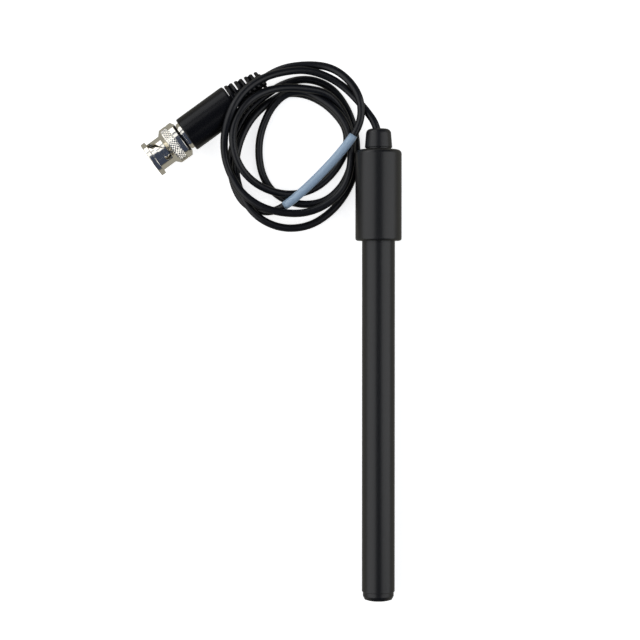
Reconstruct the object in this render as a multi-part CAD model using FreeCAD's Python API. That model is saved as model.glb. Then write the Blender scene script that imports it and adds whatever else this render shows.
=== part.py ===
import FreeCAD, Part
import math
import os

# Ion selective electrode: a plastic probe with a sensing tip, its thin signal
# cable in a loose coil, and a bayonet plug whose collar floats on a wave washer
# and turns. All sizes are millimetres. +Z is up and the parts lie on the floor.

V = FreeCAD.Vector

# Probe: lengths run along its own axis from the tube's tip end towards the cable
TUBE_R = 6.0
TUBE_WALL = 1.0
TUBE_LENGTH = 128.1          # visible between the tip ring and the cap
TUBE_EDGE = 0.2
SPIGOT_R = 5.6               # the tube is turned down where it goes into the cap
SPIGOT_DEPTH = 10.0
RING_R = 5.65                # the tip ring, a little under the tube's size
RING_LENGTH = 2.8
RING_BEVEL = 1.3
HOLDER_DEPTH = 9.0           # the holder's stem inside the tube
HOLDER_BORE_R = 3.0
MEMBRANE_R = 4.05
MEMBRANE_PROUD = 0.3
SEAL_PLACE = 2.0             # O-ring groove, from the tube's end
SEAL_WIDTH = 1.6
SEAL_DEPTH = 0.8
CONTACT_R = 2.8
CONTACT_THICK = 0.6
WIRE_R = 0.3
SPACER_PLACE = 68.0
SPACER_THICK = 3.0
CAP_R = 8.425
CAP_LENGTH = 32.9
CAP_FOOT_ROUND = 0.9
CAP_SHOULDER_ROUND = 1.6
CAP_DOME = 0.55
CAP_WALL = 3.1               # round the cavity above the socket
CAP_TOP_WALL = 5.0
GLAND_STEM_R = 3.5
GLAND_FLANGE_R = 4.3
GLAND_FLANGE_THICK = 1.5
GLAND_NECK_R = 4.6
GLAND_NECK = 0.4             # the dark joint line under the gland
GLAND_BASE_R = 5.0
GLAND_TOP_R = 4.45
GLAND_LENGTH = 6.85
GLAND_ROUND = 1.8
GLAND_MOUTH_R = 1.9
GLAND_MOUTH_DEPTH = 3.5

# Cable
CABLE_R = 1.4
CABLE_WALL = 0.3
BRAID_WALL = 0.2
CORE_PAST_LEAD = 3.0         # half of the soldered joint
SOLDER_R = 0.7
STRIP_STEP = 2.0             # each layer is stripped this much further back
CLAMP_GAP = 1.5              # from the cable clamp up to the gland's flange
CLAMP_THICK = 3.5

# Plug: lengths run along its own axis from the collar's front edge to the cable
PLUG_X = -82.85              # the collar's front edge
PLUG_Y = 74.6
PLUG_TURN = 36.0             # degrees from +X to the cable side of the plug's axis
RIM_R = 6.75
RIM_LENGTH = 1.8
SLEEVE_R = 5.5
SLEEVE_END = 7.1
COLLAR_R = 7.15
KNURL_R = 6.95               # roots of the knurled band
KNURL_START = 8.6
KNURL_END = 11.7
BAND_END = 13.5
COLLAR_LENGTH = 14.4
COLLAR_TAIL_R = 5.75
BORE_R = 4.9
BORE_LENGTH = 8.0
CAVITY_R = 5.3
CLIP_PLACE = 12.2            # the retaining ring's groove
CLIP_THICK = 0.8
CLIP_R = 5.75
CLIP_INNER_R = 4.6
CLIP_GAP = 3.0
RUN_FIT = 0.05               # radial, between pieces that turn or slide on each other
BODY_GAP = 0.3               # between pieces that move apart
SLOT_WIDTH = 2.2
SLOT_ENTRY = -60.0           # degrees round the collar from the top
SLOT_START = 2.4             # where the entry meets the ramp
SLOT_TURN = 80.0
SLOT_DEEPEST = 6.4
DETENT_TURN = 93.0
DETENT_PLACE = 5.85
DETENT_WIDTH = 2.5
FINGER_R = 4.05
FINGER_WALL = 0.55
FINGER_START = 1.6
FINGER_SLIT = 0.4
FINGER_SLIT_DEPTH = 4.8
FLANGE_THICK = 1.9
STEM_R = 4.0
STEM_END = 17.0
CRIMP_STEM_R = 2.0
CRIMP_STEM_END = 24.0
GASKET_THICK = 1.3
WASHER_THICK = 0.5
WAVE_SHEET = 0.25
WAVE_COUNT = 3
INSULATOR_START = 3.6
INSULATOR_NOSE_R = 2.4
INSULATOR_BODY = 6.0
INSULATOR_END = 13.2
PIN_R = 0.675
PIN_START = 2.4
PIN_END = 14.6
REAR_RING_R = 5.3
REAR_RING_LENGTH = 1.05
REAR_RING_LIP_R = 4.9
REAR_RING_LIP = 0.8
FERRULE_WALL = 0.5
FERRULE_END = 30.0
BOOT_R = 6.67
BOOT_START = 15.8
BOOT_LENGTH = 20.9
BOOT_ROUND = 0.9
BOOT_SOCKET = 1.4            # how far the boot goes over the plug's stem
RELIEF_CORE_R = 2.4
RELIEF_FIRST = 37.75         # centre of the first ring
RELIEF_PITCH = 1.94
RELIEF_COUNT = 7
RELIEF_RING = 1.2
RELIEF_WIDE_R = 6.2
RELIEF_NARROW_R = 3.85
RELIEF_WEB = 3.0
RELIEF_NOTCH = 0.5
RELIEF_TAIL = 1.2            # plain core beyond the last ring

# Coil of cable: angles in degrees, radii and heights about the coil's middle
COIL_X = -30.45
COIL_Y = 79.5
COIL_HEIGHT = 6.6
COIL_ROUND = 1.0
COIL_OUTER = [
    (0, 23.5), (30, 24.6), (55, 26.6), (75, 26.5), (100, 24.5), (120, 23.8),
    (150, 24.9), (178, 23.9), (200, 26.7), (230, 29.2), (260, 31.0), (285, 29.8),
    (310, 26.8), (335, 24.5),
]
COIL_INNER = [
    (0, 17.5), (30, 18.6), (60, 18.4), (90, 19.0), (112, 17.1), (135, 13.9),
    (165, 12.2), (195, 12.4), (225, 14.7), (255, 16.1), (290, 15.1), (325, 15.0),
]
COIL_GAP = [
    (128, 17.6), (150, 18.2), (172, 19.1), (191, 20.8), (208, 19.3), (228, 17.0),
    (212, 15.6), (190, 14.6), (165, 14.7), (145, 15.4),
]
# The cable from the probe, over the plug's tail and down into the coil
RUN_ROUTE = [
    (30, 28.8, 7.8), (55, 28.0, 7.7), (79, 28.4, 9.3), (99, 28.3, 11.0),
    (117, 27.9, 13.0), (134, 27.4, 14.8), (152, 26.7, 15.3), (169, 26.2, 11.4),
    (185, 26.0, 7.4), (201, 25.7, 5.6),
]
RUN_IN_GLAND = 8.8           # straight stretch before the cable's first bend
RUN_FIRST_BEND = 0.75        # how far that bend lies beyond the gland's top
# The cable from the coil, through the label sleeve and round to the plug
TAIL_ROUTE = [
    (224, 27.9, 3.2), (234.1, 27.7, 4.7), (252.7, 25.2, 8.2), (281.4, 16.3, 8.7),
    (349.7, 16.5, 9.4), (17.4, 25.2, 9.9), (34.5, 29.4, 11.2), (50.6, 31.9, 9.9),
    (66.0, 32.3, 8.1), (83.2, 30.7, 7.3),
]
TAIL_IN_LINE = 6.0           # last straight stretch, along the plug's axis
SLEEVE_FROM_BEND = 2
SLEEVE_TO_BEND = 5
LABEL_WALL = 0.25

# Worked-out places
CAP_START = TUBE_LENGTH
TUBE_TOP = TUBE_LENGTH + SPIGOT_DEPTH
CAP_TOP = CAP_START + CAP_LENGTH + CAP_DOME
CAVITY_TOP = CAP_TOP - CAP_TOP_WALL
CAVITY_CAP_R = CAP_R - CAP_WALL
GLAND_FOOT = CAVITY_TOP - GLAND_FLANGE_THICK
CLAMP_START = GLAND_FOOT - CLAMP_GAP - CLAMP_THICK
GLAND_TOP = CAP_TOP + GLAND_LENGTH + GLAND_NECK
PROBE_MIDDLE = (GLAND_TOP - RING_LENGTH - MEMBRANE_PROUD) / 2
CONTACT_SPAN = TUBE_LENGTH + CAP_FOOT_ROUND - TUBE_EDGE
TILT = math.degrees(math.atan((CAP_R - TUBE_R) / CONTACT_SPAN))
BEND_START = GLAND_TOP + RUN_FIRST_BEND
CABLE_JOIN = BEND_START - RUN_IN_GLAND
FINGER_BORE_R = FINGER_R - FINGER_WALL
FLANGE_FRONT = BORE_LENGTH + BODY_GAP
FLANGE_BACK = FLANGE_FRONT + FLANGE_THICK
FERRULE_R = CRIMP_STEM_R + FERRULE_WALL
BOOT_END = BOOT_START + BOOT_LENGTH
RELIEF_END = RELIEF_FIRST + RELIEF_PITCH * (RELIEF_COUNT - 1) + RELIEF_TAIL


def rounded_corner(before, here, after, rounding):
    """Start, middle and end of the arc that rounds one corner of an outline."""
    back = (before - here).normalize()
    ahead = (after - here).normalize()
    half = back.getAngle(ahead) / 2
    reach = rounding / math.tan(half)
    inward = (back + ahead).normalize()
    middle = here + inward * (rounding / math.sin(half) - rounding)
    return here + back * reach, middle, here + ahead * reach


def closed_outline(points):
    """Closed wire; each point is (along, radius) or (along, radius, rounding)."""
    corners = [V(p[0], p[1], 0) for p in points]
    edges = []
    joins = []
    for i, point in enumerate(points):
        here = corners[i]
        if len(point) < 3:
            joins.append((here, here))
            continue
        after = corners[(i + 1) % len(points)]
        start, middle, end = rounded_corner(corners[i - 1], here, after, point[2])
        edges.append(Part.Arc(start, middle, end).toShape())
        joins.append((start, end))
    for i in range(len(points)):
        start = joins[i - 1][1]
        end = joins[i][0]
        edges.append(Part.LineSegment(start, end).toShape())
    return Part.Wire(Part.__sortEdges__(edges))


def turned(points):
    """Solid of revolution about the X axis."""
    face = Part.Face(closed_outline(points))
    return face.revolve(V(0, 0, 0), V(1, 0, 0), 360)


def tube(start, end, inner, outer):
    """Plain ring or tube between two places on the axis."""
    return turned([(start, inner), (start, outer), (end, outer), (end, inner)])


def rod(start, end, radius):
    return Part.makeCylinder(radius, end - start, V(start, 0, 0), V(1, 0, 0))


def radial_pin(place, angle, width, inner, outer):
    """Round cutter that points out from the axis; angle 0 is the top."""
    turn = math.radians(angle)
    out = V(0, -math.sin(turn), math.cos(turn))
    foot = V(place, 0, 0) + out * inner
    return Part.makeCylinder(width / 2, outer - inner, foot, out)


def place_probe(shape):
    """From the axis it was turned on to where the probe lies on the floor."""
    tilt = math.radians(TILT)
    lift = TUBE_R * math.cos(tilt) + (PROBE_MIDDLE - TUBE_EDGE) * math.sin(tilt)
    placed = shape.copy()
    placed.translate(V(-PROBE_MIDDLE, 0, 0))
    placed.rotate(V(0, 0, 0), V(0, 0, 1), 90)
    placed.rotate(V(0, 0, 0), V(1, 0, 0), TILT)
    placed.translate(V(0, 0, lift))
    return placed


def place_plug(shape):
    """From the axis it was turned on to where the plug lies, on its collar."""
    placed = shape.copy()
    placed.rotate(V(0, 0, 0), V(0, 0, 1), PLUG_TURN)
    placed.translate(V(PLUG_X, PLUG_Y, COLLAR_R))
    return placed


def on_probe(along):
    """The point on the probe's axis at a distance from the tube's tip end."""
    return place_probe(Part.Vertex(along, 0, 0)).Point


def on_plug(along):
    """The point on the plug's axis at a distance from the collar's front."""
    return place_plug(Part.Vertex(along, 0, 0)).Point


# Probe

def make_shaft_tube():
    bore = TUBE_R - TUBE_WALL
    return turned([
        (0, bore), (0, TUBE_R - TUBE_EDGE), (TUBE_EDGE, TUBE_R),
        (TUBE_LENGTH, TUBE_R), (TUBE_LENGTH, SPIGOT_R), (TUBE_TOP, SPIGOT_R),
        (TUBE_TOP, bore),
    ])


def make_tip_holder():
    stem = TUBE_R - TUBE_WALL
    groove = stem - SEAL_DEPTH
    groove_end = SEAL_PLACE + SEAL_WIDTH
    return turned([
        (-RING_LENGTH, MEMBRANE_R), (-RING_LENGTH, RING_R - RING_BEVEL / 2, 0.3),
        (RING_BEVEL - RING_LENGTH, RING_R, 0.6), (0, RING_R), (0, stem),
        (SEAL_PLACE, stem), (SEAL_PLACE, groove), (groove_end, groove),
        (groove_end, stem), (HOLDER_DEPTH, stem), (HOLDER_DEPTH, HOLDER_BORE_R),
        (0, HOLDER_BORE_R), (0, MEMBRANE_R),
    ])


def make_tip_seal():
    stem = TUBE_R - TUBE_WALL
    return turned([
        (SEAL_PLACE, stem - SEAL_DEPTH, 0.35), (SEAL_PLACE, stem, 0.35),
        (SEAL_PLACE + SEAL_WIDTH, stem, 0.35),
        (SEAL_PLACE + SEAL_WIDTH, stem - SEAL_DEPTH, 0.35),
    ])


def make_sensing_membrane():
    front = -RING_LENGTH - MEMBRANE_PROUD
    return turned([
        (front, 0), (front, MEMBRANE_R, 0.15), (0, MEMBRANE_R), (0, 0),
    ])


def make_tip_potting():
    return tube(CONTACT_THICK, HOLDER_DEPTH, WIRE_R, HOLDER_BORE_R)


def make_lead_spacer():
    end = SPACER_PLACE + SPACER_THICK
    return tube(SPACER_PLACE, end, WIRE_R, TUBE_R - TUBE_WALL)


def make_solder_joint():
    start = TUBE_TOP - CORE_PAST_LEAD
    return tube(start, TUBE_TOP + CORE_PAST_LEAD, WIRE_R, SOLDER_R)


def make_cap():
    return turned([
        (CAP_START, SPIGOT_R), (CAP_START, CAP_R, CAP_FOOT_ROUND),
        (CAP_START + CAP_LENGTH, CAP_R, CAP_SHOULDER_ROUND),
        (CAP_TOP, GLAND_NECK_R), (CAP_TOP, GLAND_STEM_R), (CAVITY_TOP, GLAND_STEM_R),
        (CAVITY_TOP, CAVITY_CAP_R), (TUBE_TOP, CAVITY_CAP_R), (TUBE_TOP, SPIGOT_R),
    ])


def make_gland_boot():
    neck_end = CAP_TOP + GLAND_NECK
    return turned([
        (GLAND_FOOT, CABLE_R), (GLAND_FOOT, GLAND_FLANGE_R, 0.3),
        (CAVITY_TOP, GLAND_FLANGE_R),
        (CAVITY_TOP, GLAND_STEM_R), (CAP_TOP, GLAND_STEM_R), (CAP_TOP, GLAND_NECK_R),
        (neck_end, GLAND_NECK_R), (neck_end, GLAND_BASE_R, 0.2),
        (GLAND_TOP, GLAND_TOP_R, GLAND_ROUND), (GLAND_TOP, GLAND_MOUTH_R),
        (GLAND_TOP - GLAND_MOUTH_DEPTH, CABLE_R),
    ])


def make_cable_clamp():
    return tube(CLAMP_START, CLAMP_START + CLAMP_THICK, CABLE_R, CAVITY_CAP_R)


def cable_layers():
    """Core, insulation, braid and jacket inside the cap, stripped in steps."""
    braid_r = CABLE_R - CABLE_WALL
    inner_r = braid_r - BRAID_WALL
    first = TUBE_TOP + CORE_PAST_LEAD + STRIP_STEP
    second = first + STRIP_STEP
    third = second + STRIP_STEP
    return {
        "cable_core": rod(TUBE_TOP, CABLE_JOIN, WIRE_R),
        "cable_insulation": tube(first, CABLE_JOIN, WIRE_R, inner_r),
        "cable_braid": tube(second, CABLE_JOIN, inner_r, braid_r),
        "cable_jacket": tube(third, CABLE_JOIN, braid_r, CABLE_R),
    }


# Plug

def slot_path():
    """The bayonet slot's (along, angle) steps from its entry to its deepest end."""
    steps = 10
    path = []
    for i in range(steps + 1):
        share = i / steps
        along = SLOT_START + (SLOT_DEEPEST - SLOT_START) * share
        path.append((along, SLOT_ENTRY + SLOT_TURN * share))
    return path


def slot_cutter(start_angle):
    """One slot: closed groove under the rim, ramp through the wall, and detent."""
    inside = BORE_R - 1
    groove_r = (SLEEVE_R + RIM_R) / 2 - 0.45
    outside = SLEEVE_R + 0.6
    entry = Part.makeBox(
        SLOT_START + 0.1, SLOT_WIDTH, groove_r - inside, V(-0.1, -SLOT_WIDTH / 2, inside)
    )
    entry.rotate(V(0, 0, 0), V(1, 0, 0), SLOT_ENTRY)
    cutter = entry
    path = slot_path()
    for i in range(len(path)):
        cutter = cutter.fuse(radial_pin(path[i][0], path[i][1], SLOT_WIDTH, inside, outside))
        if i == 0:
            continue
        rise = path[i][0] - path[i - 1][0]
        arc = SLEEVE_R * math.radians(path[i][1] - path[i - 1][1])
        step = math.hypot(rise, arc)
        piece = Part.makeBox(
            step, SLOT_WIDTH, outside - inside, V(-step / 2, -SLOT_WIDTH / 2, inside)
        )
        lean = math.degrees(math.atan2(-arc, rise))
        piece.rotate(V(0, 0, 0), V(0, 0, 1), lean)
        piece.translate(V((path[i][0] + path[i - 1][0]) / 2, 0, 0))
        piece.rotate(V(0, 0, 0), V(1, 0, 0), (path[i][1] + path[i - 1][1]) / 2)
        cutter = cutter.fuse(piece)
    detent_angle = SLOT_ENTRY + DETENT_TURN
    detent = radial_pin(DETENT_PLACE, detent_angle, DETENT_WIDTH, inside, outside)
    cutter = cutter.fuse(detent)
    cutter.rotate(V(0, 0, 0), V(1, 0, 0), start_angle)
    return cutter


def make_coupling_collar():
    clip_end = CLIP_PLACE + CLIP_THICK
    collar = turned([
        (0, BORE_R), (0, RIM_R, 0.3), (RIM_LENGTH, RIM_R, 0.2), (RIM_LENGTH, SLEEVE_R),
        (SLEEVE_END, SLEEVE_R), (KNURL_START, COLLAR_R), (KNURL_START, KNURL_R),
        (KNURL_END, KNURL_R), (KNURL_END, COLLAR_R, 0.1), (BAND_END, COLLAR_R, 0.2),
        (COLLAR_LENGTH, COLLAR_TAIL_R), (COLLAR_LENGTH, CAVITY_R), (clip_end, CAVITY_R),
        (clip_end, CLIP_R), (CLIP_PLACE, CLIP_R), (CLIP_PLACE, CAVITY_R),
        (BORE_LENGTH, CAVITY_R), (BORE_LENGTH, BORE_R),
    ])
    collar = collar.cut(slot_cutter(0))
    return collar.cut(slot_cutter(180))


def make_retaining_ring():
    ring = tube(CLIP_PLACE, CLIP_PLACE + CLIP_THICK, CLIP_INNER_R, CLIP_R)
    gap = Part.makeBox(
        CLIP_THICK + 2, CLIP_GAP, CLIP_R + 1, V(CLIP_PLACE - 1, -CLIP_GAP / 2, 0)
    )
    return ring.cut(gap)


def make_thrust_washer():
    inner = STEM_R + BODY_GAP
    return tube(CLIP_PLACE - WASHER_THICK, CLIP_PLACE, inner, CAVITY_R - RUN_FIT)


def make_wave_washer():
    """Spring ring with waves, between the flange and the thrust washer."""
    space = CLIP_PLACE - WASHER_THICK - FLANGE_BACK - RUN_FIT
    height = (space - WAVE_SHEET) / 2
    middle = FLANGE_BACK + space / 2
    inner = STEM_R + 0.2
    outer = CAVITY_R - BODY_GAP
    loops = []
    for radius, side in ((inner, -1), (outer, -1), (outer, 1), (inner, 1)):
        points = []
        for i in range(36):
            turn = math.radians(i * 10)
            along = middle + height * math.cos(WAVE_COUNT * turn) + side * WAVE_SHEET / 2
            points.append(V(along, radius * math.cos(turn), radius * math.sin(turn)))
        curve = Part.BSplineCurve()
        curve.interpolate(points, True)
        loops.append(curve.toShape())
    faces = [Part.makeRuledSurface(loops[i - 1], loops[i]) for i in range(4)]
    shell = Part.makeShell(faces)
    shell.sewShape()
    return Part.makeSolid(shell)


def make_plug_body():
    body = turned([
        (FINGER_START, FINGER_BORE_R), (FINGER_START, FINGER_R, 0.2),
        (FLANGE_FRONT, FINGER_R), (FLANGE_FRONT, CAVITY_R - RUN_FIT),
        (FLANGE_BACK, CAVITY_R - RUN_FIT), (FLANGE_BACK, STEM_R), (STEM_END, STEM_R),
        (STEM_END, CRIMP_STEM_R), (CRIMP_STEM_END, CRIMP_STEM_R),
        (CRIMP_STEM_END, CABLE_R - CABLE_WALL), (INSULATOR_END, CABLE_R - CABLE_WALL),
        (INSULATOR_END, FINGER_BORE_R),
    ])
    depth = FINGER_SLIT_DEPTH + 0.5
    for angle in (45, 135):
        slit = Part.makeBox(
            depth, FINGER_SLIT, 3 * FINGER_R,
            V(FINGER_START - 0.5, -FINGER_SLIT / 2, -1.5 * FINGER_R)
        )
        slit.rotate(V(0, 0, 0), V(1, 0, 0), angle)
        body = body.cut(slit)
    return body


def make_plug_gasket():
    outer = BORE_R - BODY_GAP
    return turned([
        (FLANGE_FRONT - GASKET_THICK, FINGER_R), (FLANGE_FRONT - GASKET_THICK, outer, 0.2),
        (FLANGE_FRONT, outer, 0.2), (FLANGE_FRONT, FINGER_R),
    ])


def make_plug_insulator():
    return turned([
        (INSULATOR_START, PIN_R), (INSULATOR_START, INSULATOR_NOSE_R, 0.2),
        (INSULATOR_BODY, INSULATOR_NOSE_R), (INSULATOR_BODY, FINGER_BORE_R),
        (INSULATOR_END, FINGER_BORE_R), (INSULATOR_END, PIN_R),
    ])


def make_plug_pin():
    return turned([
        (PIN_START, 0), (PIN_START, PIN_R, 0.4), (PIN_END, PIN_R), (PIN_END, 0),
    ])


def make_plug_cable():
    """The cable inside the plug: its insulation to the pin, then the full jacket."""
    inner = CABLE_R - CABLE_WALL
    return turned([
        (PIN_END, 0), (PIN_END, inner), (CRIMP_STEM_END, inner),
        (CRIMP_STEM_END, CABLE_R), (RELIEF_END, CABLE_R), (RELIEF_END, 0),
    ])


def make_rear_ring():
    start = BOOT_START - REAR_RING_LENGTH
    lip = start - REAR_RING_LIP
    return turned([
        (lip, STEM_R), (lip, REAR_RING_LIP_R), (start, REAR_RING_LIP_R),
        (start, REAR_RING_R, 0.15), (BOOT_START, REAR_RING_R), (BOOT_START, STEM_R),
    ])


def make_crimp_ferrule():
    start = BOOT_START + BOOT_SOCKET
    return turned([
        (start, CRIMP_STEM_R), (start, FERRULE_R), (FERRULE_END, FERRULE_R),
        (FERRULE_END, CABLE_R), (CRIMP_STEM_END, CABLE_R), (CRIMP_STEM_END, CRIMP_STEM_R),
    ])


def relief_radius(along):
    """The relief's tapered outside at a place on the axis."""
    span = RELIEF_PITCH * (RELIEF_COUNT - 1)
    share = (along - RELIEF_FIRST) / span
    return RELIEF_WIDE_R + (RELIEF_NARROW_R - RELIEF_WIDE_R) * share


def make_plug_boot():
    """Moulded boot with its ringed strain relief, in one piece."""
    socket_end = BOOT_START + BOOT_SOCKET
    boot = turned([
        (BOOT_START, STEM_R), (BOOT_START, BOOT_R, 0.6), (BOOT_END, BOOT_R, BOOT_ROUND),
        (BOOT_END, RELIEF_CORE_R), (RELIEF_END, RELIEF_CORE_R, 0.4),
        (RELIEF_END, CABLE_R), (FERRULE_END, CABLE_R), (FERRULE_END, FERRULE_R),
        (socket_end, FERRULE_R), (socket_end, STEM_R),
    ])
    for i in range(RELIEF_COUNT):
        middle = RELIEF_FIRST + RELIEF_PITCH * i
        start = middle - RELIEF_RING / 2
        end = middle + RELIEF_RING / 2
        ring = turned([
            (start, CABLE_R), (start, relief_radius(start), 0.3),
            (end, relief_radius(end), 0.3), (end, CABLE_R),
        ])
        boot = boot.fuse(ring)
        boot = boot.fuse(relief_web(middle, i % 2 == 0))
    return boot.cut(rod(FERRULE_END, RELIEF_END + 1, CABLE_R)).removeSplitter()


def relief_web(ring_middle, upright):
    """The pair of bridges in front of a ring; they stand crosswise by turns."""
    gap_middle = ring_middle - RELIEF_PITCH / 2
    reach = relief_radius(gap_middle) - RELIEF_NOTCH
    length = RELIEF_PITCH - RELIEF_RING / 2
    web = Part.makeBox(
        length, RELIEF_WEB, 2 * reach, V(gap_middle - length / 2, -RELIEF_WEB / 2, -reach)
    )
    if not upright:
        web.rotate(V(0, 0, 0), V(1, 0, 0), 90)
    return web


# Cable route

def round_point(angle, radius, height):
    turn = math.radians(angle)
    return V(COIL_X + radius * math.cos(turn), COIL_Y + radius * math.sin(turn), height)


def rounded_route(points):
    """Edges of straight runs joined by tangent arcs, and the arcs' radii."""
    edges = []
    radii = []
    start = points[0]
    for i in range(1, len(points) - 1):
        before = points[i] - points[i - 1]
        after = points[i + 1] - points[i]
        half_turn = before.getAngle(after) / 2
        reach = 0.45 * min(before.Length, after.Length)
        radius = reach / math.tan(half_turn)
        arc_start = points[i] - before.normalize() * reach
        arc_end = points[i] + after.normalize() * reach
        inward = ((arc_start - points[i]) + (arc_end - points[i])).normalize()
        middle = points[i] + inward * (radius / math.cos(half_turn) - radius)
        edges.append(Part.LineSegment(start, arc_start).toShape())
        edges.append(Part.Arc(arc_start, middle, arc_end).toShape())
        radii.append(radius)
        start = arc_end
    edges.append(Part.LineSegment(start, points[-1]).toShape())
    return edges, radii


def swept(edges, radius):
    """Round bar along a chain of edges."""
    first = edges[0]
    start = first.valueAt(first.FirstParameter)
    ahead = first.tangentAt(first.FirstParameter)
    circle = Part.Wire(Part.Circle(start, ahead, radius).toShape())
    return Part.Wire(edges).makePipeShell([circle], True, False)


def report_cable(name, edges, radii, bar):
    length = sum(edge.Length for edge in edges)
    share = bar.Volume / (math.pi * CABLE_R ** 2 * length)
    rounds = ", ".join(f"{r:.1f}" for r in radii)
    print(f"{name}: length {length:.1f}, volume share {share:.4f}, radii {rounds}")


def run_points():
    lead_in = [on_probe(CABLE_JOIN), on_probe(BEND_START)]
    return lead_in + [round_point(*p) for p in RUN_ROUTE]


def tail_points():
    last = [on_plug(RELIEF_END + TAIL_IN_LINE), on_plug(RELIEF_END)]
    return [round_point(*p) for p in TAIL_ROUTE] + last


def closed_curve(points):
    curve = Part.BSplineCurve()
    curve.interpolate([round_point(p[0], p[1], 0) for p in points], True)
    return Part.Wire(curve.toShape())


def plug_clearance():
    """The boot and relief with the clearance that the coil keeps from them."""
    start = BOOT_START - BODY_GAP
    end = RELIEF_END + BODY_GAP
    boot_r = BOOT_R + BODY_GAP
    return place_plug(turned([
        (start, 0), (start, boot_r), (BOOT_END + BODY_GAP, boot_r),
        (end, relief_radius(RELIEF_END) + BODY_GAP), (end, 0),
    ]))


def cap_clearance():
    """The cap with the clearance that the coil keeps from it."""
    return place_probe(rod(CAP_START, CAP_TOP, CAP_R + BODY_GAP))


def make_cord_coil():
    """The loose turns as one ring of their outer shape, with the gap between them."""
    up = V(0, 0, COIL_HEIGHT)
    coil = Part.Face(closed_curve(COIL_OUTER)).extrude(up)
    coil = coil.cut(Part.Face(closed_curve(COIL_INNER)).extrude(up))
    rims = [e for e in coil.Edges if abs(e.BoundBox.ZMin - e.BoundBox.ZMax) < 0.01]
    coil = coil.makeFillet(COIL_ROUND, rims)
    coil = coil.cut(Part.Face(closed_curve(COIL_GAP)).extrude(up))
    coil = coil.cut(cap_clearance())
    return coil.cut(plug_clearance())


def make_cables():
    """The two free lengths, cut where they enter the coil, and the label sleeve."""
    coil = make_cord_coil()
    run_edges, run_radii = rounded_route(run_points())
    tail_edges, tail_radii = rounded_route(tail_points())
    run = swept(run_edges, CABLE_R)
    tail = swept(tail_edges, CABLE_R)
    report_cable("cord_run", run_edges, run_radii, run)
    report_cable("cord_tail", tail_edges, tail_radii, tail)
    covered = tail_edges[2 * SLEEVE_FROM_BEND:2 * SLEEVE_TO_BEND - 1]
    sleeve = swept(covered, CABLE_R + LABEL_WALL).cut(swept(covered, CABLE_R))
    return {
        "cord_run": largest(run.cut(coil)),
        "cord_coil": coil,
        "cord_tail": largest(tail.cut(coil)),
        "label_sleeve": sleeve,
    }


def largest(shape):
    return max(shape.Solids, key=lambda solid: solid.Volume)


def make_probe():
    parts = {
        "shaft_tube": make_shaft_tube(),
        "tip_holder": make_tip_holder(),
        "tip_seal": make_tip_seal(),
        "sensing_membrane": make_sensing_membrane(),
        "contact_disc": rod(0, CONTACT_THICK, CONTACT_R),
        "tip_potting": make_tip_potting(),
        "inner_lead": rod(CONTACT_THICK, TUBE_TOP, WIRE_R),
        "lead_spacer": make_lead_spacer(),
        "solder_joint": make_solder_joint(),
        "cap": make_cap(),
        "gland_boot": make_gland_boot(),
        "cable_clamp": make_cable_clamp(),
    }
    parts.update(cable_layers())
    return {name: place_probe(shape) for name, shape in parts.items()}


def make_plug():
    parts = {
        "coupling_collar": make_coupling_collar(),
        "retaining_ring": make_retaining_ring(),
        "thrust_washer": make_thrust_washer(),
        "wave_washer": make_wave_washer(),
        "plug_body": make_plug_body(),
        "plug_gasket": make_plug_gasket(),
        "plug_insulator": make_plug_insulator(),
        "plug_pin": make_plug_pin(),
        "plug_cable": make_plug_cable(),
        "plug_rear_ring": make_rear_ring(),
        "crimp_ferrule": make_crimp_ferrule(),
        "plug_boot": make_plug_boot(),
    }
    return {name: place_plug(shape) for name, shape in parts.items()}


def main():
    parts = make_probe()
    parts.update(make_plug())
    parts.update(make_cables())
    os.makedirs("parts", exist_ok=True)
    for name, shape in parts.items():
        box = shape.BoundBox
        solids = len(shape.Solids)
        print(f"{name}: {solids} solid, volume {shape.Volume:.2f}, low {box.ZMin:.3f}")
        shape.exportStep(f"parts/{name}.step")


main()
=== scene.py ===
# %% [markdown]
# # A laboratory electrode with a coiled cable, dressed for a photograph
#
# An ion selective electrode measures one kind of ion in water. Its plastic
# probe holds a sensing tip, a thin cable carries the signal, and a bayonet
# plug takes it to a meter. The solids come from CAD, in metres, and stay where
# they are. This lesson adds what CAD leaves out: the camera and the light, the
# cable as one long curve, the blank sleeve on it, the knurl on the plug's
# collar, and a finish for every piece.

import math

import bmesh
import bpy
import numpy as np
from mathutils import Matrix, Vector


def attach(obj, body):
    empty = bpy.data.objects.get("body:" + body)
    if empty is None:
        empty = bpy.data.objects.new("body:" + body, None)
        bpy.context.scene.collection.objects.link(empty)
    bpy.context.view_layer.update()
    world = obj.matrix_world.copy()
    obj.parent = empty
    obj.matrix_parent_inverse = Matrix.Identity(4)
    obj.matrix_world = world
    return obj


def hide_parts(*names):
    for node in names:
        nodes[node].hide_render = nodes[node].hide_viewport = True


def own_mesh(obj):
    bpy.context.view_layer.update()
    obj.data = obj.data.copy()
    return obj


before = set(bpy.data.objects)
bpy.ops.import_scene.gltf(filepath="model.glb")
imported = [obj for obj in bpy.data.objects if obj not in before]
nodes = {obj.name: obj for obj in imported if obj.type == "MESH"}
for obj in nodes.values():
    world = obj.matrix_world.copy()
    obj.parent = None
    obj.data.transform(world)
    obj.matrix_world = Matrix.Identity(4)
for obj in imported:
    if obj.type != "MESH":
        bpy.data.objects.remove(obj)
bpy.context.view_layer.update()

# %% [markdown]
# ## Camera
#
# The photograph looks straight down on the electrode as it lies. A long lens
# from well above keeps the probe's two edges parallel, as they are there. The
# view is 233 mm wide, which comes from the probe's 12 mm tube.

# %% Camera straight above
MM = 0.001
VIEW_WIDTH = 233.4 * MM
VIEW_MIDDLE = Vector((-21.3, 16.4, 7.5)) * MM
LENS = 100.0
SENSOR = 36.0
NEAREST_SEEN = 10 * MM

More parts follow.
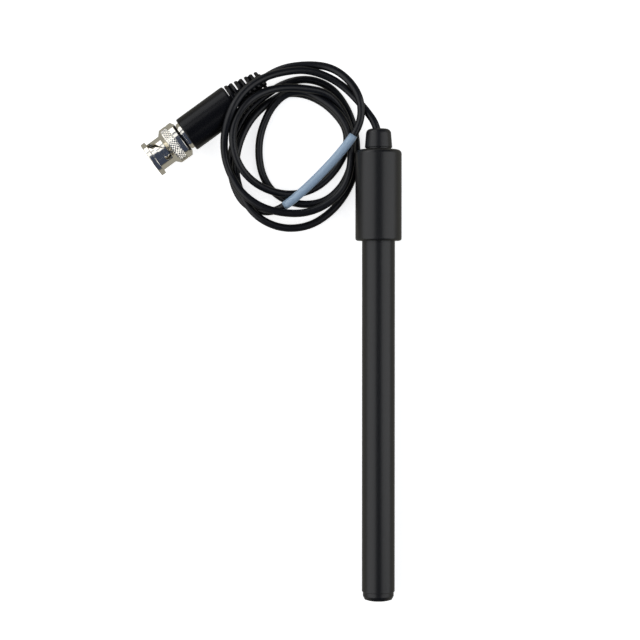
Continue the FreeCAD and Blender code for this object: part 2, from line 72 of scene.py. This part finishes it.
camera_data = bpy.data.cameras.new("camera")
camera_data.lens = LENS
camera_data.sensor_width = SENSOR
camera_data.clip_start = NEAREST_SEEN
camera = bpy.data.objects.new("camera", camera_data)
camera.location = VIEW_MIDDLE + Vector((0, 0, VIEW_WIDTH * LENS / SENSOR))
bpy.context.scene.collection.objects.link(camera)
bpy.context.scene.camera = camera
print("camera height in mm:", round(camera.location.z / MM))

# %% [markdown]
# ## Where the plug lies
#
# The plug rests on the floor at the upper left. Its front end and the way it
# points are enough to place what belongs to it: the knurl on its collar, and
# the surface that the cable has to stay out of. The front is given in
# millimetres, as the whole route of the cable is, and MM turns both to metres.

# %% Place of the plug
PLUG_FRONT = Vector((-82.85, 74.6, 7.15))
PLUG_TURN = math.radians(36)
plug_axis = Vector((math.cos(PLUG_TURN), math.sin(PLUG_TURN), 0))
plug_place = Matrix.Translation(PLUG_FRONT * MM) @ Matrix.Rotation(PLUG_TURN, 4, "Z")
print("plug points along:", [round(c, 3) for c in plug_axis])

# %% [markdown]
# ## The cable's route
#
# A thin signal cable is one fixed length of something springy. It leaves the
# gland, goes over the plug's tail, lies in four loose turns of different
# size, comes up through the label sleeve and goes round to the plug. Nothing
# ties the turns, so they fan out and ride over each other. A formula would
# make every turn alike, so the route is given as the control points of
# a NURBS curve, which stays smooth between them. Each point is an angle, a
# radius and a height about the coil's middle, but at the gland and at the plug
# the curve is led straight in by plain places.

# %% Where the cable goes, in millimetres and degrees
COIL_MIDDLE = Vector((-30.45, 79.5, 0))
CABLE_WIDTH = 2.8

OUT_OF_GLAND = [(0, 77.9, 9.0), (0.4, 85.7, 9.2)]
OVER_THE_PLUG = [
    (30, 29.1, 7.8), (55, 28.8, 7.7), (79, 28.6, 9.3), (99, 27.4, 11.0),
    (117, 27.2, 13.0), (134, 26.9, 14.8), (152, 26.2, 15.3), (169, 26.0, 11.4),
    (185, 26.0, 7.4), (201, 25.7, 5.6),
]
THROUGH_THE_SLEEVE = [
    (234.1, 27.7, 1.4), (252.7, 25.2, 3.4), (281.4, 16.3, 5.6),
    (349.7, 16.5, 8.7), (17.4, 25.1, 9.9), (34.5, 29.4, 11.2),
    (50.6, 31.3, 9.9), (66.0, 32.0, 8.1), (83.2, 30.4, 7.3),
]
INTO_THE_PLUG = [(-37.1, 107.9, 7.15), (-42.0, 104.3, 7.15)]
print("points before the turns:", len(OUT_OF_GLAND) + len(OVER_THE_PLUG))
print("points after the turns:", len(THROUGH_THE_SLEEVE) + len(INTO_THE_PLUG))

# %% [markdown]
# The turns follow the photograph. Each pair holds a radius and a level, one
# pair for every 20 degrees: level 0 lies on the floor, 1 on one strand, 2 on
# two, and a half is a strand on its way up or down. A blank line stands where
# the cable comes round to 100 degrees. The third time round it climbs over the
# plug's boot, four levels up.

# %% The loose turns
FIRST_ANGLE = 220
TURN_STEP = 20
TURNS = [
    (25.4, 2), (24.9, 2), (24.1, 2), (24.1, 0.5), (23.7, 1), (23.2, 1),
    (21.4, 2), (20.2, 2), (20.4, 2), (20.6, 1.5), (20.8, 1.5), (21.0, 2),

    (20.1, 2), (17.1, 0.5), (14.6, 0), (13.5, 0), (13.2, 0), (13.8, 0),
    (15.4, 0), (17.5, 0), (19.2, 0), (20.9, 0), (22.2, 0), (22.1, 0),
    (21.6, 1), (21.0, 1), (21.0, 1), (21.7, 0.5), (22.0, 1), (21.2, 2),

    (21.5, 3), (22.5, 3.8), (23.2, 4.5), (23.4, 4), (22.5, 2.5), (21.2, 2),
    (19.6, 0), (18.1, 1), (17.2, 1), (16.5, 0), (16.2, 0), (16.2, 0),
    (17.0, 0), (18.8, 0), (20.1, 0), (19.5, 0), (19.6, 0), (20.1, 0),

    (20.5, 0), (19.6, 1), (19.4, 0), (19.6, 0), (20.9, 0.5), (23.3, 0.5),
    (25.8, 1), (28.6, 1), (29.7, 0), (28.9, 0), (26.6, 0), (24.5, 0),
    (23.0, 0), (22.3, 0), (22.8, 0), (24.1, 0), (26.0, 0), (26.0, 0),

    (24.1, 0), (21.7, 0), (21.7, 0), (21.9, 0), (22.9, 0), (25.0, 0),
    (27.0, 0),
]


def round_point(angle, radius, height):
    """Place in mm that lies this far from the coil's middle, at this angle."""
    turn = math.radians(angle)
    return COIL_MIDDLE + Vector((radius * math.cos(turn), radius * math.sin(turn), height))


def turn_points():
    """Control points of the turns, set out a little as the curve cuts inside them."""
    outward = 1 / math.cos(math.radians(TURN_STEP / 2))
    points = []
    for step, (radius, level) in enumerate(TURNS):
        angle = FIRST_ANGLE + TURN_STEP * step
        points.append(round_point(angle, radius * outward, (0.5 + level) * CABLE_WIDTH))
    return points


# %% All control points, from the gland to the plug
drawn = [Vector(p) for p in OUT_OF_GLAND]
drawn += [round_point(*p) for p in OVER_THE_PLUG]
first_turn = len(drawn)
drawn += turn_points()
after_turns = len(drawn)
drawn += [round_point(*p) for p in THROUGH_THE_SLEEVE]
drawn += [Vector(p) for p in INTO_THE_PLUG]
print("control points:", len(drawn), "of them in the turns:", len(TURNS))

# %% [markdown]
# ### Letting the turns settle
#
# As drawn, the strands still cut through each other where they cross.
# Real cable sinks until it lies on the floor or on another strand, and its
# own stiffness spreads the bump. A physics simulation could lay it down, but
# the turns would slide away from where the photograph has them, so a short
# loop moves the control points instead. It has to know where the smooth line
# runs, and on a spline of order 3 each place on the line is a fixed mix of
# three neighbouring points.

# %% Samples along the smooth line
SAMPLES_PER_POINT = 5


def sample_weights(count):
    """Rows that mix the control points into samples of the smooth line."""
    rows = []
    for middle in range(1, count - 1):
        for step in range(SAMPLES_PER_POINT):
            part = (step + 0.5) / SAMPLES_PER_POINT
            before, after = (1 - part) ** 2 / 2, part ** 2 / 2
            row = np.zeros(count)
            row[middle - 1:middle + 2] = before, 1 - before - after, after
            rows.append(row)
    return np.array(rows)


mix = sample_weights(len(drawn))
print("samples along the cable:", len(mix))

# %% [markdown]
# Two strands that are nearer than a cable's width push each other apart,
# mostly up and down, so that the turns keep their outline. Samples up to ten
# steps apart belong to one strand and leave each other alone. The clearance is
# a little more than the width, because the pushes stop just short of it. The
# plug pushes outwards from its axis, with its boot's radius known at a few
# places along it.

# %% Pushes between strands, and from the plug
CLEARANCE = 2.95
SIDEWAYS = 0.3
SAME_STRAND = 10
BOOT_ALONG = (10, 36.7, 37.75, 49.4, 50)
BOOT_RADIUS = (6.67, 6.67, 6.2, 3.85, 3.85)
TINY = 1e-6


def push_apart(samples):
    """How far each sample moves so that no two strands share the same space."""
    gap = samples[:, None] - samples[None]
    distance = np.linalg.norm(gap, axis=2)
    order = np.arange(len(samples))
    other_strand = abs(order[:, None] - order[None]) > SAME_STRAND
    short = np.where(other_strand, np.maximum(CLEARANCE - distance, 0), 0)
    way = gap * (SIDEWAYS, SIDEWAYS, 1)
    way /= np.maximum(np.linalg.norm(way, axis=2), TINY)[:, :, None]
    touching = np.maximum((short > 0).sum(axis=1), 1)
    return (way * short[:, :, None]).sum(axis=1) / touching[:, None]


def push_off_plug(samples):
    """How far each sample moves out from the plug's axis to lie on its boot."""
    axis = np.array(plug_axis)
    offset = samples - np.array(PLUG_FRONT)
    along = offset @ axis
    out = offset - along[:, None] * axis
    distance = np.linalg.norm(out, axis=1)
    reach = np.interp(along, BOOT_ALONG, BOOT_RADIUS) + CLEARANCE / 2
    beside = (along > BOOT_ALONG[0]) & (along < BOOT_ALONG[-1])
    short = np.where(beside, np.maximum(reach - distance, 0), 0)
    return out / distance[:, None] * short[:, None]


first_samples = mix @ np.array(drawn)
first_push = np.linalg.norm(push_apart(first_samples), axis=1)
print("samples that overlap as drawn:", int((first_push > TINY).sum()))


# %% [markdown]
# Each round sinks the strands a little, evens out each strand's height,
# pulls every point back towards its place in the photograph, and then pushes
# apart what overlaps. Three points stay where they are drawn, on top of the
# boot's rear corner. So does the cable before the turns and after them, apart
# from the first three points after the turns, which settle too.

# %% Settle
ROUNDS = 80
SINK = 0.02
STIFFNESS = 0.12
KEEP_PLACE = 0.12
HELD_ON_BOOT = (31, 32, 33)
SLACK_AFTER_TURNS = 3


def settle(points, free):
    """Control points after the loose strands have come to rest on each other."""
    home = points.copy()
    inner = free[1:-1]
    for _ in range(ROUNDS):
        even = (points[:-2, 2] + points[2:, 2]) / 2 - points[1:-1, 2]
        points[1:-1, 2] += np.where(inner, STIFFNESS * even - SINK, 0)
        points[free, :2] += KEEP_PLACE * (home - points)[free, :2]
        samples = mix @ points
        push = push_apart(samples) + push_off_plug(samples)
        points[free] += (mix.T @ push / mix.sum(axis=0)[:, None])[free]
        points[free, 2] = np.maximum(points[free, 2], CABLE_WIDTH / 2)
    return points


loose = np.zeros(len(drawn), bool)
loose[first_turn:after_turns + SLACK_AFTER_TURNS] = True
for held in HELD_ON_BOOT:
    loose[first_turn + held] = False
settled = settle(np.array(drawn), loose)
route = [Vector(p) * MM for p in settled]
moved = np.linalg.norm(settled - np.array(drawn), axis=1)
print("moved in mm, most and on average:", moved.max().round(1), moved[loose].mean().round(1))

# %% [markdown]
# ## The cable itself
#
# The jacket is extruded in one long piece, so one open spline of order 3
# makes the whole cable, and its bevel gives the round section. A mesh tube
# would look the same, but a curve can still be laid in another shape later.
# The order and the end points are set after the points are added, because
# Blender lowers the order of a spline that has too few points.

# %% Cable curve
STEPS_ALONG = 8
STEPS_ACROSS = 6

cable_data = bpy.data.curves.new("signal_cable", "CURVE")
cable_data.dimensions = "3D"
spline = cable_data.splines.new("NURBS")
spline.points.add(len(route) - 1)
for point, place in zip(spline.points, route):
    point.co = (*place, 1)
spline.order_u = 3
spline.use_endpoint_u = True
cable_data.resolution_u = STEPS_ALONG
print("control points in the spline:", len(spline.points))

# %% Length of the cable, and its round section

def centre_line(curve):
    """Points along the smooth line of a curve that has no bevel yet."""
    carrier = bpy.data.objects.new("line_carrier", curve)
    bpy.context.scene.collection.objects.link(carrier)
    bpy.context.view_layer.update()
    graph = bpy.context.evaluated_depsgraph_get()
    mesh = bpy.data.meshes.new_from_object(carrier.evaluated_get(graph))
    line = [v.co.copy() for v in mesh.vertices]
    bpy.data.objects.remove(carrier)
    bpy.data.meshes.remove(mesh)
    return line


cable_line = centre_line(cable_data)
cable_data.bevel_depth = CABLE_WIDTH / 2 * MM
cable_data.bevel_resolution = STEPS_ACROSS
cable_data.use_fill_caps = True
cable = bpy.data.objects.new("signal_cable", cable_data)
bpy.context.scene.collection.objects.link(cable)

# %% [markdown]
# ## Label sleeve
#
# A short blank sleeve of clear film is slipped over the cable and shrunk on
# with hot air, so it grips the cable and bends with it. A second, thicker
# curve would be a solid rod without a wall, so the sleeve is a mesh. Rings are
# set square to the cable's line, out along the outside and back along the
# inside, and bridged into a closed wall. A narrower ring at each end rounds
# the lip, and the inside lies just under the jacket's surface.

# %% Where the sleeve starts and ends
SLEEVE_LOW_END = Vector((-34.6, 58.1, 4.6)) * MM
SLEEVE_HIGH_END = Vector((-8.7, 84.0, 9.3)) * MM


def nearest_index(line, place):
    """Index of the line's nearest point, looking only at its last third."""
    start = len(line) * 2 // 3
    return min(range(start, len(line)), key=lambda i: (line[i] - place).length)


low = nearest_index(cable_line, SLEEVE_LOW_END)
high = nearest_index(cable_line, SLEEVE_HIGH_END)
sleeve_length = sum((cable_line[i + 1] - cable_line[i]).length for i in range(low, high))
print("sleeve length in mm:", round(sleeve_length / MM, 1))

# %% Rings and meshes
RING_SIDES = 24


def ring_across(bm, line, index, radius):
    """Edges of a round ring, square to the line at one of its points."""
    ahead = (line[index + 1] - line[index - 1]).normalized()
    facing = ahead.to_track_quat("Z", "Y").to_matrix().to_4x4()
    place = Matrix.Translation(line[index]) @ facing
    made = bmesh.ops.create_circle(bm, segments=RING_SIDES, radius=radius, matrix=place)
    return list({edge for v in made["verts"] for edge in v.link_edges})


def object_from(bm, name):
    """New object with this mesh, its faces turned outwards."""
    bmesh.ops.recalc_face_normals(bm, faces=bm.faces)
    mesh = bpy.data.meshes.new(name)
    bm.to_mesh(mesh)
    bm.free()
    piece = bpy.data.objects.new(name, mesh)
    bpy.context.scene.collection.objects.link(piece)
    print(name, "faces:", len(mesh.polygons))
    return piece


# %% Sleeve along the cable
SLEEVE_WALL = 0.25 * MM
SLEEVE_LIP = 0.1 * MM
SLEEVE_GRIP = 0.98

inside = CABLE_WIDTH / 2 * MM
outside = inside + SLEEVE_WALL
bm = bmesh.new()
stations = [(low, inside), (low, outside - SLEEVE_LIP)]
stations += [(i, outside) for i in range(low + 1, high)]
stations += [(high, outside - SLEEVE_LIP), (high, inside)]
stations += [(i, inside * SLEEVE_GRIP) for i in range(high - 1, low, -1)]
rings = [ring_across(bm, cable_line, i, radius) for i, radius in stations]
for i in range(len(rings)):
    bmesh.ops.bridge_loops(bm, edges=rings[i - 1] + rings[i])
label_sleeve = object_from(bm, "blank_sleeve")
for face in label_sleeve.data.polygons:
    face.use_smooth = True

# %% [markdown]
# ## Knurl on the collar
#
# The collar is turned from brass and its grip is rolled with a diamond knurl:
# small pyramids in slanting rows. A bump in the material would be quicker, but
# it leaves the collar's outline smooth. So a flat grid is poked, its first
# edges are dissolved so that diamonds stay, and each diamond is poked
# outwards. Only then is the strip wrapped round the collar. Its rims are drawn
# in a little and joined under the surface, which makes a closed ring of it.

# %% Diamond knurl
KNURL_START = 8.6 * MM
KNURL_END = 11.7 * MM
KNURL_ROOT = 6.97 * MM
KNURL_DEPTH = 0.2 * MM
KNURL_PITCH = 1.05 * MM

girth = 2 * math.pi * KNURL_ROOT
around = round(girth / KNURL_PITCH)
rows = round((KNURL_END - KNURL_START) / KNURL_PITCH)
bm = bmesh.new()
bmesh.ops.create_grid(bm, x_segments=around, y_segments=rows, size=0.5)
bmesh.ops.scale(bm, vec=(girth, KNURL_END - KNURL_START, 1), verts=bm.verts)
square_edges = [e for e in bm.edges if not e.is_boundary]
bmesh.ops.poke(bm, faces=bm.faces[:])
bmesh.ops.dissolve_edges(bm, edges=square_edges, use_verts=False)
diamonds = [f for f in bm.faces if len(f.verts) == 4]
bmesh.ops.poke(bm, faces=diamonds, offset=KNURL_DEPTH)
print("diamonds:", len(diamonds))

# %% Wrap the strip round the collar's axis
SAME_PLACE = 0.001 * MM
RIM_DRAWN_IN = 0.985

middle = (KNURL_START + KNURL_END) / 2
for v in bm.verts:
    turn = v.co.x / KNURL_ROOT
    out = KNURL_ROOT + v.co.z
    v.co = Vector((middle + v.co.y, -out * math.sin(turn), out * math.cos(turn)))
bmesh.ops.remove_doubles(bm, verts=bm.verts, dist=SAME_PLACE)
rim_edges = [e for e in bm.edges if e.is_boundary]
grown = bmesh.ops.extrude_edge_only(bm, edges=rim_edges)
sunk = [g for g in grown["geom"] if isinstance(g, bmesh.types.BMVert)]
bmesh.ops.scale(bm, vec=(1, RIM_DRAWN_IN, RIM_DRAWN_IN), verts=sunk)
inner_edges = [e for e in bm.edges if e.is_boundary]
bmesh.ops.bridge_loops(bm, edges=inner_edges)
bmesh.ops.transform(bm, matrix=plug_place, verts=bm.verts)
knurl = object_from(bm, "collar_knurl")

# %% [markdown]
# ## Wave washer
#
# The spring under the collar is a ring of spring steel, pressed into three
# waves. When a hand pulls the collar forward, the ring is squeezed against
# the flange in front of it, and a rigid one would cut into the washer behind
# it. So the CAD mesh stays as it is, and a merged copy of it, with its own
# mesh, stands in for it.

washer_node = nodes["wave_washer"]
bm = bmesh.new()
bm.from_mesh(washer_node.data)
bmesh.ops.transform(bm, matrix=washer_node.matrix_world, verts=bm.verts)
bmesh.ops.remove_doubles(bm, verts=bm.verts, dist=SAME_PLACE)
wave_washer = object_from(bm, "pressed_wave_washer")

# %% [markdown]
# ## Finishes
#
# Every material starts from what the real one is. One function turns a hex
# colour to linear light, one adds a node with its settings and links, and one
# makes a whole finish. Each finish has a fine grain, which does two things: it
# is a small bump, and it makes the gloss a little uneven, as any moulded or
# plated surface is. The real grain is finer than the photograph can show, so
# it is drawn as coarse as it needs to be to soften a reflection.

# %% Colours and nodes


def srgb(code):
    """Hex colour as it looks on a screen, turned to the linear light shaders use."""
    parts = [int(code[i:i + 2], 16) / 255 for i in (1, 3, 5)]
    linear = [p / 12.92 if p <= 0.04045 else ((p + 0.055) / 1.055) ** 2.4 for p in parts]
    return (*linear, 1)


def add_node(tree, kind, sockets=None, **settings):
    """One node with its settings; a socket takes a value or another node's output."""
    node = tree.nodes.new(kind)
    for name, value in settings.items():
        setattr(node, name, value)
    for name, value in (sockets or {}).items():
        if isinstance(value, bpy.types.NodeSocket):
            tree.links.new(value, node.inputs[name])
        else:
            node.inputs[name].default_value = value
    return node


print("white in linear light:", srgb("#FFFFFF"))

# %% One finish
GRAIN_DETAIL = 3.0
GRAIN_LOW = 0.3
GRAIN_HIGH = 0.7


def new_finish(name, grain, bump, rough, **sockets):
    """Material with a grain of this size and bump in metres, and a roughness range."""
    material = bpy.data.materials.new(name)
    material.use_nodes = True
    tree = material.node_tree
    shader = tree.nodes["Principled BSDF"]
    for socket, value in sockets.items():
        shader.inputs[socket.replace("_", " ")].default_value = value
    place = add_node(tree, "ShaderNodeTexCoord")
    noise = add_node(
        tree, "ShaderNodeTexNoise",
        {"Vector": place.outputs["Object"], "Scale": 1 / grain, "Detail": GRAIN_DETAIL},
    )
    relief = add_node(
        tree, "ShaderNodeBump",
        {"Height": noise.outputs["Fac"], "Distance": bump, "Strength": 1.0},
    )
    gloss = add_node(
        tree, "ShaderNodeMapRange",
        {"Value": noise.outputs["Fac"], "From Min": GRAIN_LOW, "From Max": GRAIN_HIGH,
         "To Min": rough[0], "To Max": rough[1]},
    )
    tree.links.new(relief.outputs["Normal"], shader.inputs["Normal"])
    tree.links.new(gloss.outputs["Result"], shader.inputs["Roughness"])
    print("finish:", name)
    return material


# %% [markdown]
# ### Probe plastics
#
# The tube, cap and tip are moulded and turned from black ABS. A tool with a
# fine spark-eroded texture leaves a soft, even sheen: wide grey bands where
# the lights are, and no sharp reflection. The gland is a softer elastomer,
# which takes the same texture and looks a trace duller. The membrane is a
# pressed disc of salts, pale and dull like unglazed clay.

# %% Black plastic, rubber and membrane
abs_plastic = new_finish(
    "moulded_black_abs", grain=0.35 * MM, bump=0.003 * MM, rough=(0.33, 0.39),
    Base_Color=srgb("#121212"), IOR=1.53,
)
gland_rubber = new_finish(
    "soft_black_elastomer", grain=0.3 * MM, bump=0.003 * MM, rough=(0.35, 0.42),
    Base_Color=srgb("#121214"), IOR=1.53,
)
seal_rubber = new_finish(
    "nitrile_rubber", grain=0.15 * MM, bump=0.003 * MM, rough=(0.55, 0.68),
    Base_Color=srgb("#161616"), IOR=1.5,
)
membrane_film = new_finish(
    "pressed_salt_membrane", grain=0.2 * MM, bump=0.003 * MM, rough=(0.34, 0.46),
    Base_Color=srgb("#B9B4A6"), IOR=1.5,
)

# %% [markdown]
# ### Cable, sleeve and boot
#
# The jacket is extruded PVC, nearly black with a trace of blue, smooth enough
# for a thin highlight along its back. The sleeve is heat-shrink film, a
# milky blue-grey with a thin gloss over it. The boot is moulded in one piece
# from softer PVC, and its polished tool leaves a broad satin sheen.

# %% Extruded PVC, shrink film and moulded boot
pvc_jacket = new_finish(
    "extruded_pvc_jacket", grain=0.5 * MM, bump=0.003 * MM, rough=(0.3, 0.38),
    Base_Color=srgb("#0C0D11"), IOR=1.53, Specular_IOR_Level=0.4,
)
shrink_film = new_finish(
    "clear_shrink_film", grain=0.8 * MM, bump=0.004 * MM, rough=(0.24, 0.34),
    Base_Color=srgb("#A9C2D8"), IOR=1.5, Coat_Weight=0.3, Coat_Roughness=0.2,
)
boot_pvc = new_finish(
    "moulded_soft_pvc", grain=0.4 * MM, bump=0.003 * MM, rough=(0.24, 0.3),
    Base_Color=srgb("#0B0B0E"), IOR=1.52, Specular_IOR_Level=0.25,
)

# %% [markdown]
# ### Metals
#
# A metal has no colour of its own under its shine, so its base colour is the
# tint of its reflection. The collar is nickel-plated brass: bright and a
# little warm, and the plating bath leaves it nearly a mirror. The springy
# pieces are rolled steel, greyer and duller. The pin is gold-plated against
# tarnish, the wires are drawn copper, and the solder and the contact are
# silvery and slightly uneven, as they cooled.

# %% Nickel, steel, gold, copper and silver
nickel_plate = new_finish(
    "nickel_plated_brass", grain=0.4 * MM, bump=0.0006 * MM, rough=(0.1, 0.16),
    Base_Color=srgb("#F7F3E8"), Metallic=1.0,
)
spring_steel = new_finish(
    "tempered_spring_steel", grain=0.2 * MM, bump=0.0015 * MM, rough=(0.25, 0.36),
    Base_Color=srgb("#A7A6A3"), Metallic=1.0,
)
gold_plate = new_finish(
    "gold_plated_brass", grain=0.2 * MM, bump=0.001 * MM, rough=(0.18, 0.28),
    Base_Color=srgb("#E2B65C"), Metallic=1.0,
)
copper_wire = new_finish(
    "bare_copper_wire", grain=0.1 * MM, bump=0.001 * MM, rough=(0.25, 0.38),
    Base_Color=srgb("#C77A4E"), Metallic=1.0,
)
silver_plate = new_finish(
    "silver_plate_and_solder", grain=0.2 * MM, bump=0.001 * MM, rough=(0.2, 0.32),
    Base_Color=srgb("#D6D6D2"), Metallic=1.0,
)

# %% [markdown]
# ### Insulator and resin
#
# The plug's insulator is turned from white PTFE, a waxy plastic that spreads
# light softly. The resin behind the tip is cast and sets glossy and amber.

# %% PTFE and cast resin
ptfe = new_finish(
    "turned_white_ptfe", grain=0.2 * MM, bump=0.002 * MM, rough=(0.4, 0.52),
    Base_Color=srgb("#E9E7E0"), IOR=1.38,
)
cast_resin = new_finish(
    "cast_amber_resin", grain=0.6 * MM, bump=0.002 * MM, rough=(0.2, 0.32),
    Base_Color=srgb("#7A6440"), IOR=1.55,
)

# %% [markdown]
# ### Handing out the finishes
#
# CAD gave every piece its own node with its own material slots, so a finish
# is only put into the slots, and the piece itself isn't touched.

# %% Which node takes which finish
FINISHES = {
    abs_plastic: ["shaft_tube", "tip_holder", "cap", "lead_spacer", "cable_clamp"],
    gland_rubber: ["gland_boot"],
    membrane_film: ["sensing_membrane"],
    seal_rubber: ["tip_seal", "plug_gasket"],
    silver_plate: ["contact_disc", "solder_joint"],
    cast_resin: ["tip_potting"],
    copper_wire: ["inner_lead", "cable_core", "cable_braid"],
    ptfe: ["cable_insulation", "plug_insulator"],
    pvc_jacket: ["cable_jacket", "cord_run", "cord_coil", "cord_tail", "plug_cable"],
    shrink_film: ["label_sleeve"],
    nickel_plate: ["coupling_collar", "plug_body", "plug_rear_ring", "crimp_ferrule"],
    spring_steel: ["retaining_ring", "thrust_washer", "wave_washer"],
    gold_plate: ["plug_pin"],
    boot_pvc: ["plug_boot"],
}
for material, names in FINISHES.items():
    for name in names:
        for slot in nodes[name].material_slots:
            slot.material = material
cable.data.materials.append(pvc_jacket)
label_sleeve.data.materials.append(shrink_film)
knurl.data.materials.append(nickel_plate)
wave_washer.data.materials.append(spring_steel)
print("finished nodes:", sum(len(names) for names in FINISHES.values()))

# %% [markdown]
# ## Floor and light
#
# The photograph is a studio one on pure white, as from a light table: the
# board glows a little, so only faint shadows are left. It reaches far past
# the view, so that its edge isn't seen from low down. Shiny pieces don't
# mirror the board. They mirror the room below the horizon, which is dimmer,
# and that keeps the black plastic's edges dark as the photograph has them.

# %% Floor
FLOOR_REACH = 15
BOARD_GLOW = 0.76

floor_board = new_finish(
    "matte_white_board", grain=3 * MM, bump=0.002 * MM, rough=(0.75, 0.85),
    Base_Color=srgb("#F0F0EE"), Emission_Color=srgb("#FFFFFF"), Emission_Strength=BOARD_GLOW,
)
bm = bmesh.new()
bmesh.ops.create_grid(bm, x_segments=1, y_segments=1, size=FLOOR_REACH)
floor = object_from(bm, "floor")
floor.data.materials.append(floor_board)
floor.visible_glossy = False

# %% [markdown]
# Two tall soft panels lean over the probe like the sides of a tent, with a
# slit between them for the camera, so the plastic shows two grey bands and a
# dark line. A third panel at the upper left gives the plug's boot and the
# cable their lit side. Brightness is given per area, so that a panel can
# change its size and look as bright as before.

# %% Light panels


def soft_panel(name, low_edge, high_edge, length, brightness):
    """Rectangular light from a low edge to a high edge, turned to the middle."""
    low_edge, high_edge = Vector(low_edge), Vector(high_edge)
    across = high_edge - low_edge
    data = bpy.data.lights.new(name, "AREA")
    data.shape = "RECTANGLE"
    data.size, data.size_y = length, across.length
    data.energy = brightness * math.pi * length * across.length
    light = bpy.data.objects.new(name, data)
    up = across.normalized()
    back = Vector((low_edge.x, low_edge.y, 0)).normalized()
    back = (back - up * back.dot(up)).normalized()
    turn = Matrix((up.cross(back), up, back)).transposed()
    light.matrix_world = Matrix.Translation((low_edge + high_edge) / 2) @ turn.to_4x4()
    bpy.context.scene.collection.objects.link(light)
    print(name, "power in watts:", round(data.energy, 2))


soft_panel(
    "left_panel", low_edge=(-0.45, 0, 0.03), high_edge=(-0.2, 0, 0.55),
    length=0.7, brightness=1.15,
)
soft_panel(
    "right_panel", low_edge=(0.45, 0.03, 0.03), high_edge=(0.2, 0.02, 0.55),
    length=0.5, brightness=1.2,
)
soft_panel(
    "back_panel", low_edge=(-0.36, 0.5, 0.04), high_edge=(-0.33, 0.46, 0.39),
    length=0.45, brightness=1.3,
)

# %% [markdown]
# The room itself is dim and a little blue above the horizon, which shows as
# navy in the nickel, and pale grey below it.

# %% Room
HORIZON_BLEND = 0.05

world = bpy.data.worlds.new("studio")
world.use_nodes = True
tree = world.node_tree
sky = add_node(tree, "ShaderNodeTexCoord")
parts = add_node(tree, "ShaderNodeSeparateXYZ", {"Vector": sky.outputs["Generated"]})
ramp = add_node(tree, "ShaderNodeValToRGB", {"Fac": parts.outputs["Z"]})
below, above = ramp.color_ramp.elements
below.position = 0.0
below.color = srgb("#99978F")
above.position = HORIZON_BLEND
above.color = srgb("#3A4254")
tree.links.new(ramp.outputs["Color"], tree.nodes["Background"].inputs["Color"])
bpy.context.scene.world = world
bpy.context.scene.view_settings.view_transform = "Standard"
print("room nodes:", len(tree.nodes))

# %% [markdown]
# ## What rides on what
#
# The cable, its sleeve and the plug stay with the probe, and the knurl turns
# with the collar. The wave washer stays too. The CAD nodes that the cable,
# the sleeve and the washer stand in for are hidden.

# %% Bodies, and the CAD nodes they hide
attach(cable, "probe_and_plug")
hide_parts("cord_run", "cord_coil", "cord_tail")
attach(label_sleeve, "probe_and_plug")
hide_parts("label_sleeve")
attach(knurl, "collar")
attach(wave_washer, "probe_and_plug")
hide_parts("wave_washer")
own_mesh(wave_washer)
print("pieces that ride:", [piece.name for piece in (cable, label_sleeve, knurl, wave_washer)])
